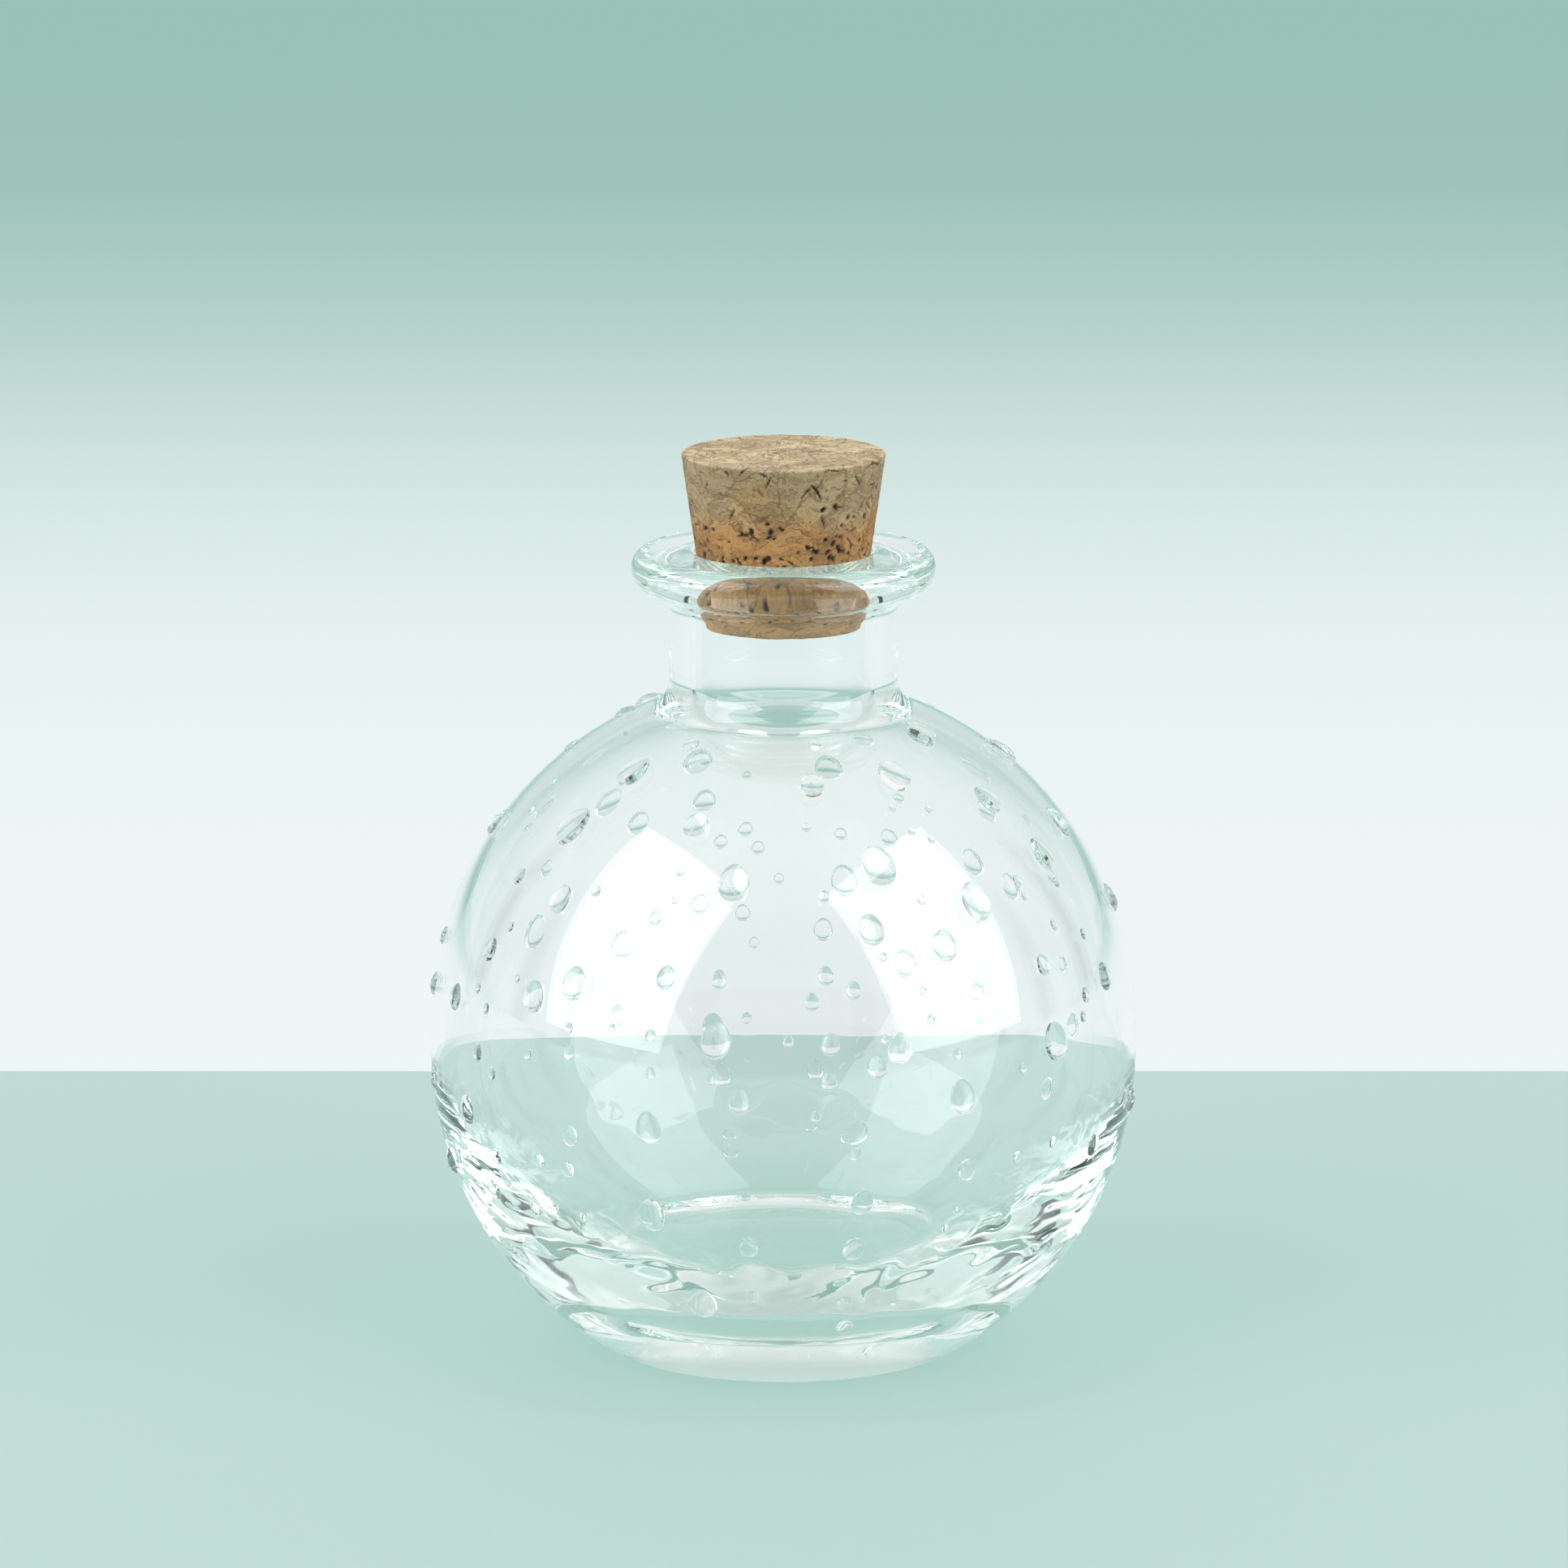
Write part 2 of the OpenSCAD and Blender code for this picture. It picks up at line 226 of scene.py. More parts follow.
@dataclass(frozen=True)
class PunchedCork:
    """Natural cork, punched and ground to a taper: matt, with fine curved grain, chips of slightly
    different tone, and dark pits and cracks. It is greyer where it was handled, and warmer below."""

    top_mm: float
    low_mm: float
    roughness: float = 0.86
    chip_mm: float = 5.5
    seam_share: float = 0.03
    grain_mm: float = 1.3
    grain_flat: float = 0.35
    vein_share: float = 0.03
    speck_mm: float = 0.28
    cloud_mm: float = 9.0
    cloud_lift: float = 0.8
    warp_mm: float = 5.5
    warp_reach_mm: float = 6.0
    relief_mm: float = 0.15

    def bent_place(self, tree: bpy.types.NodeTree, place: bpy.types.NodeSocket) -> bpy.types.NodeSocket:
        """The piece's own coordinates, pushed about so that no pattern runs straight."""
        warp = add(tree, "ShaderNodeTexNoise", {
            "Vector": place, "Scale": per_metre(self.warp_mm), "Detail": 3.0}).outputs["Color"]
        shift = add(tree, "ShaderNodeVectorMath", {0: warp, 1: (0.5, 0.5, 0.5)},
                    operation="SUBTRACT").outputs[0]
        push = add(tree, "ShaderNodeVectorMath", {0: shift, "Scale": self.warp_reach_mm * MM},
                   operation="SCALE").outputs[0]
        return add(tree, "ShaderNodeVectorMath", {0: place, 1: push}, operation="ADD").outputs[0]

    def body_tone(self, tree: bpy.types.NodeTree, place: bpy.types.NodeSocket) -> bpy.types.NodeSocket:
        """The broad tone: orange low down, tan and grey above, with painted top light that makes the faces
        pointing up paler.
        """
        clouds = add(tree, "ShaderNodeTexNoise", {
            "Vector": place, "Scale": per_metre(self.cloud_mm), "Detail": 2.0}).outputs["Fac"]
        height = add(tree, "ShaderNodeSeparateXYZ", {"Vector": place}).outputs["Z"]
        rise = add(tree, "ShaderNodeMapRange", {
            "Value": height, "From Min": self.low_mm * MM, "From Max": self.top_mm * MM}).outputs["Result"]
        lift = add(tree, "ShaderNodeMath", {0: clouds, 1: self.cloud_lift, 2: -self.cloud_lift / 2},
                   operation="MULTIPLY_ADD").outputs[0]
        level = add(tree, "ShaderNodeMath", {0: rise, 1: lift}, operation="ADD").outputs[0]
        body = ramp(tree, level, [(0.0, linear(Shade.CORK_ORANGE)), (0.52, linear(Shade.CORK_ORANGE)),
                                  (0.66, linear(Shade.CORK_TAN)), (0.8, linear(Shade.CORK_GREY))])
        # Painted top light: faces that point up are mixed towards a paler colour, as if more light fell on
        # them.
        facing = add(tree, "ShaderNodeNewGeometry").outputs["True Normal"]
        upward = add(tree, "ShaderNodeSeparateXYZ", {"Vector": facing}).outputs["Z"]
        painted_top_light = add(tree, "ShaderNodeMapRange", {
            "Value": upward, "From Min": 0.5, "From Max": 0.9}).outputs["Result"]
        return add(tree, "ShaderNodeMix", {"Factor": painted_top_light, 6: body, 7: linear(Shade.CORK_PALE)},
                   data_type="RGBA").outputs[2]

    def darkened(self, tree: bpy.types.NodeTree, colour: bpy.types.NodeSocket,
                 light: bpy.types.NodeSocket) -> bpy.types.NodeSocket:
        """A colour made darker or lighter by a value."""
        return add(tree, "ShaderNodeVectorMath", {0: colour, "Scale": light}, operation="SCALE").outputs[0]

    def lined(self, tree: bpy.types.NodeTree, colour: bpy.types.NodeSocket,
              share: bpy.types.NodeSocket) -> bpy.types.NodeSocket:
        """A colour that gives way to the brown of a line where the share is low."""
        return add(tree, "ShaderNodeMix", {"Factor": share, 6: linear(Shade.CORK_LINE), 7: colour},
                   data_type="RGBA").outputs[2]

    def make(self) -> bpy.types.Material:
        """Builds the material from the piece's own coordinates and its attribute of pits."""
        material, tree = new_material("natural_cork_punched_and_ground")
        place = add(tree, "ShaderNodeTexCoord").outputs["Object"]
        bent = self.bent_place(tree, place)
        chips = add(tree, "ShaderNodeTexVoronoi", {"Vector": bent, "Scale": per_metre(self.chip_mm)})
        chip_tone = add(tree, "ShaderNodeSeparateColor", {"Color": chips.outputs["Color"]}).outputs["Red"]
        seams = add(tree, "ShaderNodeTexVoronoi", {"Vector": bent, "Scale": per_metre(self.chip_mm)},
                    feature="DISTANCE_TO_EDGE").outputs["Distance"]
        turned = add(tree, "ShaderNodeMapping", {
            "Vector": bent, "Rotation": (0.25, -0.3, 0.4),
            "Scale": (self.grain_flat, self.grain_flat, 1.0)}).outputs["Vector"]
        grain = add(tree, "ShaderNodeTexNoise", {
            "Vector": turned, "Scale": per_metre(self.grain_mm), "Detail": 4.0, "Roughness": 0.55,
            "Distortion": 0.8}).outputs["Fac"]
        specks = add(tree, "ShaderNodeTexNoise", {
            "Vector": place, "Scale": per_metre(self.speck_mm), "Detail": 3.0,
            "Roughness": 0.7}).outputs["Fac"]

        chip_light = add(tree, "ShaderNodeMapRange", {
            "Value": chip_tone, "To Min": 0.84, "To Max": 1.12}).outputs["Result"]
        toned = self.darkened(tree, self.body_tone(tree, place), chip_light)
        streak = add(tree, "ShaderNodeMapRange", {
            "Value": grain, "From Min": 0.34, "From Max": 0.5, "To Min": 0.45}).outputs["Result"]
        streaked = self.lined(tree, toned, streak)
        off_middle = add(tree, "ShaderNodeMath", {0: grain, 1: 0.5}, operation="SUBTRACT").outputs[0]
        away = add(tree, "ShaderNodeMath", {0: off_middle}, operation="ABSOLUTE").outputs[0]
        vein = add(tree, "ShaderNodeMapRange", {
            "Value": away, "From Max": self.vein_share, "To Min": 0.15}).outputs["Result"]
        veined = self.lined(tree, streaked, vein)
        seam = add(tree, "ShaderNodeMapRange", {
            "Value": seams, "From Max": self.seam_share, "To Min": 0.4}).outputs["Result"]
        seamed = self.lined(tree, veined, seam)
        freckle = add(tree, "ShaderNodeMapRange", {
            "Value": specks, "From Min": 0.3, "From Max": 0.7,
            "To Min": 0.74, "To Max": 1.16}).outputs["Result"]
        freckled = self.darkened(tree, seamed, freckle)
        # Pits and slits are mixed to a dark brown: partly the bark in them, partly painted shade in the
        # hollows.
        pits = add(tree, "ShaderNodeAttribute", attribute_name="pit").outputs["Fac"]
        pitted = add(tree, "ShaderNodeMix", {"Factor": pits, 6: freckled, 7: linear(Shade.CORK_BARK)},
                     data_type="RGBA").outputs[2]
        relief = add(tree, "ShaderNodeMath", {0: grain, 1: specks}, operation="ADD").outputs[0]
        bump = add(tree, "ShaderNodeBump", {
            "Height": relief, "Strength": 0.4, "Distance": self.relief_mm * MM}).outputs["Normal"]
        shader = add(tree, "ShaderNodeBsdfPrincipled", {
            "Base Color": pitted, "Roughness": self.roughness, "Normal": bump})
        add(tree, "ShaderNodeOutputMaterial", {"Surface": shader.outputs["BSDF"]})
        return material


def pick(piece: bpy.types.Object) -> None:
    """Makes a piece the only one that the operators act on."""
    bpy.ops.object.select_all(action="DESELECT")
    bpy.context.view_layer.objects.active = piece
    piece.select_set(True)


def arc(centre: Point, radius: float, start: float, end: float, step: float) -> list[Point]:
    """Points along an arc, both ends included.

    Args:
        centre: the arc's middle, in millimetres from the axis and from the table.
        radius: the arc's radius in millimetres.
        start: the first angle in degrees.
        end: the last angle in degrees.
        step: the longest distance between points in millimetres.

    Returns:
        The points.
    """
    count = max(6, math.ceil(abs(math.radians(end - start)) * radius / step))
    turns = (math.radians(start + (end - start) * i / count) for i in range(count + 1))
    return [(centre[0] + radius * math.cos(t), centre[1] + radius * math.sin(t)) for t in turns]


def angle(start: Point, end: Point) -> float:
    """The direction in degrees from one point to another."""
    return math.degrees(math.atan2(end[1] - start[1], end[0] - start[0]))


def turned_solid(name: str, outline: list[Point], segments: int) -> bpy.types.Object:
    """Turns an outline round the axis to a closed mesh with smooth faces.

    Args:
        name: the piece's name.
        outline: points in millimetres, from the axis round the section and back to the axis.
        segments: the number of steps round the axis.

    Returns:
        The new object, at the origin.
    """
    mesh = bpy.data.meshes.new(name)
    points = [(r * MM, 0.0, z * MM) for r, z in outline]
    mesh.from_pydata(points, [(i, i + 1) for i in range(len(points) - 1)], [])
    piece = bpy.data.objects.new(name, mesh)
    bpy.context.collection.objects.link(piece)
    pick(piece)
    lathe = piece.modifiers.new("lathe", "SCREW")
    lathe.steps = lathe.render_steps = segments
    lathe.use_merge_vertices = True
    lathe.merge_threshold = MERGE_MM * MM
    bpy.ops.object.modifier_apply(modifier=lathe.name)
    bpy.ops.object.mode_set(mode="EDIT")
    bpy.ops.mesh.select_all(action="SELECT")
    bpy.ops.mesh.remove_doubles(threshold=MERGE_MM * MM)
    bpy.ops.mesh.normals_make_consistent(inside=False)
    bpy.ops.object.mode_set(mode="OBJECT")
    bpy.ops.object.shade_smooth()
    return piece


def mesh_places(piece: bpy.types.Object) -> np.ndarray:
    """The places of a piece's vertices in millimetres, one row each."""
    places = np.empty(len(piece.data.vertices) * 3)
    piece.data.vertices.foreach_get("co", places)
    return places.reshape(-1, 3) / MM


def move_mesh(piece: bpy.types.Object, places: np.ndarray) -> None:
    """Writes a piece's vertices back from places in millimetres."""
    piece.data.vertices.foreach_set("co", (places * MM).ravel())
    piece.data.update()


def mesh_normals(piece: bpy.types.Object) -> np.ndarray:
    """The directions of a piece's vertices, one row each."""
    normals = np.empty(len(piece.data.vertices) * 3)
    piece.data.vertex_normals.foreach_get("vector", normals)
    return normals.reshape(-1, 3)


def noise_at(places: np.ndarray, size: float, seed: float) -> np.ndarray:
    """Smooth noise at each place.

    Args:
        places: the places in millimetres, one row each.
        size: the distance in millimetres over which the noise changes.
        seed: moves the noise, so that two of a kind differ.

    Returns:
        A value from about -1 to 1 for each place.
    """
    return np.array([noise.noise(Vector(p) / size + Vector((seed, seed, seed))) for p in places])


@dataclass
class GlassBottle:
    """The bottle: a globe with a thick base, a short neck and a rounded lip, all one glass.

    Its sizes are those of the plain solid. The last group is how finely it is meshed, and the waves
    that blowing left on its inner wall: long ones all over, short ones low down, and rough ones
    where the wall runs into the floor. They draw the sparkle of the base and bend what shows
    through the glass.
    """

    globe_r: float = 43.0
    globe_band: float = 2.0
    wall: float = 1.6
    foot_r: float = 22.8
    foot_ring_w: float = 1.8
    heel_r: float = 0.9
    punt_h: float = 1.6
    floor_r: float = 19.3
    floor_rise: float = 0.8
    base_round: float = 28.0
    neck_r: float = 13.8
    neck_len: float = 8.7
    bore_r: float = 10.6
    shoulder_r: float = 4.0
    throat_r: float = 5.0
    lip_r: float = 18.35
    lip_top_r: float = 2.15
    lip_under_r: float = 2.95
    lip_fillet_r: float = 2.0
    mouth_r: float = 0.8

    segments: int = 256
    coarse: float = 1.0
    fine: float = 0.3
    floor_step: float = 0.5
    ripple: float = 0.035
    ripple_mm: float = 14.0
    low_wave: float = 0.09
    low_wave_mm: float = 3.6
    low_wave_z: float = 27.0
    low_wave_fade: float = 9.0
    ring_wave: float = 0.07
    ring_wave_mm: float = 1.7
    ring_w: float = 1.5

    def __post_init__(self) -> None:
        """Works out the levels and the middles of the roundings."""
        self.low_z = self.heel_r + math.sqrt((self.globe_r - self.heel_r) ** 2 - self.foot_r ** 2)
        self.high_z = self.low_z + self.globe_band
        self.cavity_r = self.globe_r - self.wall
        self.shoulder = self.corner(self.neck_r, self.shoulder_r, self.globe_r)
        self.throat = self.corner(self.bore_r, self.throat_r, self.cavity_r)
        self.neck_top = self.shoulder[1] + self.neck_len
        self.fillet = (self.neck_r + self.lip_fillet_r, self.neck_top)
        under_x = self.lip_r - self.lip_under_r
        reach = self.lip_fillet_r + self.lip_under_r
        self.lip_z = self.neck_top + math.sqrt(reach ** 2 - (under_x - self.fillet[0]) ** 2)
        self.under = (under_x, self.lip_z)
        self.height = self.lip_z + self.lip_top_r
        self.base_mid = (self.cavity_r - self.base_round, self.low_z)
        self.floor_z = self.low_z - math.sqrt(self.base_round ** 2 - (self.floor_r - self.base_mid[0]) ** 2)

    def corner(self, x: float, rounding: float, ball: float) -> Point:
        """The middle of a rounding between an upright wall and a ball.

        Args:
            x: the wall's distance from the axis.
            rounding: the rounding's radius.
            ball: the ball's radius.

        Returns:
            The rounding's middle.
        """
        return (x + rounding, self.high_z + math.sqrt((ball + rounding) ** 2 - (x + rounding) ** 2))

    def outside(self) -> list[Point]:
        """The outline from the middle of the hollow foot up to the top of the lip."""
        low, high = (0.0, self.low_z), (0.0, self.high_z)
        punt_r = self.foot_r - self.foot_ring_w
        dome = (punt_r ** 2 + self.punt_h ** 2) / (2 * self.punt_h)
        dome_mid = (0.0, self.punt_h - dome)
        heel = (self.foot_r, self.heel_r)
        tilt = angle(low, heel)
        climb = angle(high, self.shoulder)
        lean = angle(self.fillet, self.under)
        return [
            *arc(dome_mid, dome, 90, angle(dome_mid, (punt_r, 0.0)), self.coarse),
            *arc(heel, self.heel_r, -90, tilt, self.fine),
            *arc(low, self.globe_r, tilt, 0, self.coarse),
            *arc(high, self.globe_r, 0, climb, self.coarse),
            *arc(self.shoulder, self.shoulder_r, 180 + climb, 180, self.fine),
            *arc(self.fillet, self.lip_fillet_r, 180, lean, self.fine),
            *arc(self.under, self.lip_under_r, lean - 180, 0, self.fine),
            *arc((self.lip_r - self.lip_top_r, self.lip_z), self.lip_top_r, 0, 90, self.fine)]

    def inside(self) -> list[Point]:
        """The outline from the mouth down the bore and round the cavity to the middle of the floor."""
        high = (0.0, self.high_z)
        mouth = (self.bore_r + self.mouth_r, self.height - self.mouth_r)
        climb = angle(high, self.throat)
        dome = (self.floor_r ** 2 + self.floor_rise ** 2) / (2 * self.floor_rise)
        dome_mid = (0.0, self.floor_z + self.floor_rise - dome)
        edge = (self.floor_r, self.floor_z)
        return [
            *arc(mouth, self.mouth_r, 90, 180, self.fine),
            *arc(self.throat, self.throat_r, 180, 180 + climb, self.fine),
            *arc(high, self.cavity_r, climb, 0, self.coarse),
            *arc(self.base_mid, self.base_round, 0, angle(self.base_mid, edge), self.floor_step),
            *arc(dome_mid, dome, angle(dome_mid, edge), 90, self.floor_step)]

    def waves(self, places: np.ndarray) -> np.ndarray:
        """How far each place of the inner wall is pushed out or in.

        Args:
            places: places on the inner wall in millimetres, one row each.

        Returns:
            A length in millimetres for each place.
        """
        away = np.hypot(places[:, 0], places[:, 1])
        low = np.clip((self.low_wave_z - places[:, 2]) / self.low_wave_fade, 0, 1)
        low *= np.clip((away - self.floor_r) / self.low_wave_fade, 0, 1)
        ring = np.exp(-((away - self.floor_r) / self.ring_w) ** 2) * (places[:, 2] < self.low_z)
        return (self.ripple * noise_at(places, self.ripple_mm, 3.0)
                + self.low_wave * low * noise_at(places, self.low_wave_mm, 5.0)
                + self.ring_wave * ring * noise_at(places, self.ring_wave_mm, 9.0))

    def blow(self) -> bpy.types.Object:
        """Makes the glass, with the waves that blowing leaves inside."""
        piece = turned_solid("glass_shell", self.outside() + self.inside(), self.segments)
        places = mesh_places(piece)
        away = np.hypot(np.hypot(places[:, 0], places[:, 1]), places[:, 2] - self.low_z)
        above_floor = places[:, 2] > self.floor_z - self.fine
        hollow = (away < self.globe_r - self.wall / 2) & above_floor & (places[:, 2] < self.throat[1])
        places[hollow] += mesh_normals(piece)[hollow] * self.waves(places[hollow])[:, None]
        move_mesh(piece, places)
        return piece

    def build(self) -> None:
        """Makes and dresses the bottle, which stands for its plain solid."""
        piece = self.blow()
        piece.data.materials.append(SodaLimeGlass().make())
        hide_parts("glass_bottle")
        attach(piece, "bottle")
        log.info("glass_shell: %d faces", len(piece.data.polygons))


@dataclass
class WaterDrops:
    """The drops that cling to the globe, each at the place of its own plain solid.

    A drop is as high, for its width, as the plain one, a little longer than wide, fuller at its
    lower end, and leaned a little by chance. The larger it is, the longer it has run.
    """

    globe: GlassBottle
    sunk: float = 0.04
    rise: float = 0.225
    fullness: float = 0.6
    sag: float = 0.1
    stretch: float = 1.14
    stretch_per_mm: float = 0.09
    narrow: float = 0.16
    narrow_least: float = 0.2
    lean: float = 9.0
    rings: tuple[float, ...] = (1.0, 0.97, 0.9, 0.77, 0.57, 0.3)
    base_rings: tuple[float, ...] = (1.0, 0.5)
    small: float = 0.8
    small_sides: int = 14
    large_sides: int = 24
    rim_angle: float = 38.0
    seed: int = 7

    def solids(self) -> list[np.ndarray]:
        """The vertices of each separate solid of the plain node, in millimetres."""
        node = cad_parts["dew_drops"]
        copy = bpy.data.objects.new("drops_copy", node.data.copy())
        bpy.context.collection.objects.link(copy)
        pick(copy)
        bpy.ops.object.mode_set(mode="EDIT")
        bpy.ops.mesh.select_all(action="SELECT")
        bpy.ops.mesh.remove_doubles(threshold=MERGE_MM * MM)
        bpy.ops.object.mode_set(mode="OBJECT")
        places = mesh_places(copy)
        owner = list(range(len(places)))

        def root(i: int) -> int:
            """The first vertex of the solid that vertex i is on."""
            while owner[i] != i:
                owner[i] = owner[owner[i]]
                i = owner[i]
            return i

        for edge in copy.data.edges:
            a, b = (root(i) for i in edge.vertices)
            owner[max(a, b)] = min(a, b)
        groups: dict[int, list[int]] = {}
        for i in range(len(places)):
            groups.setdefault(root(i), []).append(i)
        bpy.data.objects.remove(copy)
        return [places[members] for members in groups.values()]

    def shape(self, solid: np.ndarray, chance: random.Random) -> tuple[list[Vector], list[tuple[int, ...]]]:
        """Makes one drop: a low dome that sags, on a base that follows the glass.

        Args:
            solid: the vertices of the plain solid.
            chance: the source of its small differences.

        Returns:
            The vertices in millimetres and the faces.
        """
        glass = self.globe
        box_mid = (solid.max(axis=0) + solid.min(axis=0)) / 2
        upper = box_mid[2] > glass.low_z + glass.globe_band / 2
        ball = Vector((0.0, 0.0, glass.high_z if upper else glass.low_z))
        out = (Vector(solid.mean(axis=0)) - ball).normalized()
        along = (solid - np.array(ball)) @ np.array(out)
        spread = solid - np.array(ball) - along[:, None] * np.array(out)
        radius = float(np.linalg.norm(spread, axis=1).max())
        right = Vector((-out.y, out.x, 0.0)).normalized()
        up = out.cross(right)
        ratio = math.sqrt(self.stretch + self.stretch_per_mm * radius)
        half_w, half_h = radius / ratio, radius * ratio
        turn = Matrix.Rotation(math.radians(chance.uniform(-self.lean, self.lean)), 3, out)
        right, up = turn @ right, turn @ up
        pinch = self.narrow * chance.uniform(self.narrow_least, 1.0) * min(1.0, radius)
        count = self.large_sides if radius > self.small else self.small_sides
        rise = 2 * radius * self.rise

        def spot(share: float, step: int, top: bool) -> Vector:
            """A vertex of the drop, by its share of the way to the rim."""
            turned = math.tau * step / count
            x = half_w * share * math.cos(turned) * (1 - pinch * math.sin(turned))
            y = half_h * share * math.sin(turned)
            place = (out * glass.globe_r + right * x + up * y).normalized()
            dome = rise * (1 - share ** 2) ** self.fullness * (1 - self.sag * 2 * y / half_h)
            return ball + place * (glass.globe_r + (dome if top else -self.sunk))

        rows = [(share, True) for share in self.rings[::-1]] + [(share, False) for share in self.base_rings]
        points = [spot(share, step, top) for share, top in rows for step in range(count)]
        first, last = len(points), len(points) + 1
        points += [spot(0.0, 0, True), spot(0.0, 0, False)]
        faces: list[tuple[int, ...]] = []
        for step in range(count):
            after = (step + 1) % count
            faces.append((first, step, after))
            for row in range(len(rows) - 1):
                low, high = row * count, (row + 1) * count
                faces.append((low + step, high + step, high + after, low + after))
            low = (len(rows) - 1) * count
            faces.append((last, low + after, low + step))
        return points, faces

    def build(self) -> None:
        """Makes all the drops as one piece, which stands for the plain solids."""
        chance = random.Random(self.seed)
        points: list[Vector] = []
        faces: list[tuple[int, ...]] = []
        for solid in self.solids():
            drop, skin = self.shape(solid, chance)
            faces += [tuple(i + len(points) for i in face) for face in skin]
            points += drop
        mesh = bpy.data.meshes.new("water_drops")
        mesh.from_pydata([p * MM for p in points], [], faces)
        piece = bpy.data.objects.new("water_drops", mesh)
        bpy.context.collection.objects.link(piece)
        pick(piece)
        bpy.ops.object.shade_smooth_by_angle(angle=math.radians(self.rim_angle))
        piece.data.materials.append(StillWater().make())
        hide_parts("dew_drops")
        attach(piece, "bottle")
        log.info("water_drops: %d faces", len(piece.data.polygons))


@dataclass
class Mark:
    """A pit or slit in the cork's side: its place, half its length and width, its tilt and its depth."""

    turn: float
    z: float
    length: float
    width: float
    tilt: float
    depth: float


@dataclass
class TaperedCork:
    """The cork: a ground taper with a slightly ragged rim, with pits and slits cut in it.

    The pits are round and lie thickest around the lip. The slits are thin, run at a slant and lie
    higher up.
    """

    top_z: float = 109.376
    base_z: float = 88.576
    seat_z: float = 96.776
    seat_r: float = 10.52
    taper: float = 0.144
    bevel: float = 0.35
    segments: int = 400
    ring_mm: float = 0.2
    end_rings: int = 24
    face_rings: int = 56
    pits: int = 330
    pit_low: float = 0.12
    pit_high: float = 0.3
    pit_longest: float = 1.8
    pit_top_share: float = 0.8
    pit_peak_share: float = 0.5
    slits: int = 90
    slit_low: float = 0.35
    slit_high: float = 1.05
    slit_wide: float = 0.1
    slit_tilt: float = 1.25
    slit_from_share: float = 0.4
    depth_low: float = 0.2
    depth_high: float = 0.55
    mark_edge: float = 1.25
    mark_dark: float = 2.2
    mark_reach: float = 1.5
    rough: float = 0.05
    rough_mm: float = 0.9
    rough_fine_mm: float = 0.4
    seed: int = 11

    def radius(self, z: float) -> float:
        """The cork's radius at a height."""
        return self.seat_r + self.taper * (z - self.seat_z)

    def outline(self) -> list[Point]:
        """The outline from the middle of the base to the middle of the top."""
        low, high = self.base_z + self.bevel, self.top_z - self.bevel
        foot = (self.radius(low) - self.bevel, low)
        brim = (self.radius(high) - self.bevel, high)
        under = [(foot[0] * i / self.end_rings, self.base_z) for i in range(self.end_rings)]
        count = math.ceil((high - low) / self.ring_mm)
        levels = [low + (high - low) * i / count for i in range(1, count)]
        side = [(self.radius(z), z) for z in levels]
        over = [(brim[0] * i / self.face_rings, self.top_z) for i in range(self.face_rings - 1, -1, -1)]
        return [*under, *arc(foot, self.bevel, -90, 0, self.ring_mm), *side,
                *arc(brim, self.bevel, 0, 90, self.ring_mm), *over]

    def marks(self) -> list[Mark]:
        """The pits and slits, by chance but the same each time."""
        chance = random.Random(self.seed)
        tall = self.top_z - self.base_z
        found = []
        for _ in range(self.pits):
            size = chance.uniform(self.pit_low, self.pit_high)
            z = chance.triangular(0, self.pit_top_share * tall, self.pit_peak_share * tall)
            found.append(Mark(chance.uniform(0, math.tau), self.base_z + z,
                              size * chance.uniform(1, self.pit_longest), size,
                              chance.uniform(-math.pi, math.pi),
                              chance.uniform(self.depth_low, self.depth_high)))
        for _ in range(self.slits):
            length = chance.uniform(self.slit_low, self.slit_high)
            z = chance.uniform(self.slit_from_share * tall, tall)
            found.append(Mark(chance.uniform(0, math.tau), self.base_z + z, length, self.slit_wide,
                              chance.uniform(-self.slit_tilt, self.slit_tilt),
                              chance.uniform(self.depth_low, self.depth_high)))
        return found

    def reach_of(self, mark: Mark, places: np.ndarray) -> np.ndarray:
        """How deep each place lies in a mark.

        Args:
            mark: the pit or slit.
            places: the cork's vertices in millimetres, one row each.

        Returns:
            A share for each place, 0 outside the mark and largest in its middle.
        """
        outward = np.array([math.cos(mark.turn), math.sin(mark.turn), 0.0])
        around = np.array([-math.sin(mark.turn), math.cos(mark.turn), 0.0])
        upward = np.array([0.0, 0.0, 1.0])
        middle = self.radius(mark.z) * outward + mark.z * upward
        long_way = math.cos(mark.tilt) * around + math.sin(mark.tilt) * upward
        short_way = -math.sin(mark.tilt) * around + math.cos(mark.tilt) * upward
        off = places - middle
        share = np.sqrt((off @ long_way / mark.length) ** 2 + (off @ short_way / mark.width) ** 2
                        + (off @ outward / self.mark_reach) ** 2)
        return np.clip(self.mark_edge - share, 0, None)

    def build(self) -> None:
        """Makes and dresses the cork, which stands for its plain solid."""
        piece = turned_solid("cork_plug", self.outline(), self.segments)
        places = mesh_places(piece)
        depth = np.zeros(len(places))
        dark = np.zeros(len(places))
        for mark in self.marks():
            reach = self.reach_of(mark, places)
            depth = np.maximum(depth, mark.depth * np.minimum(reach, 1.0))
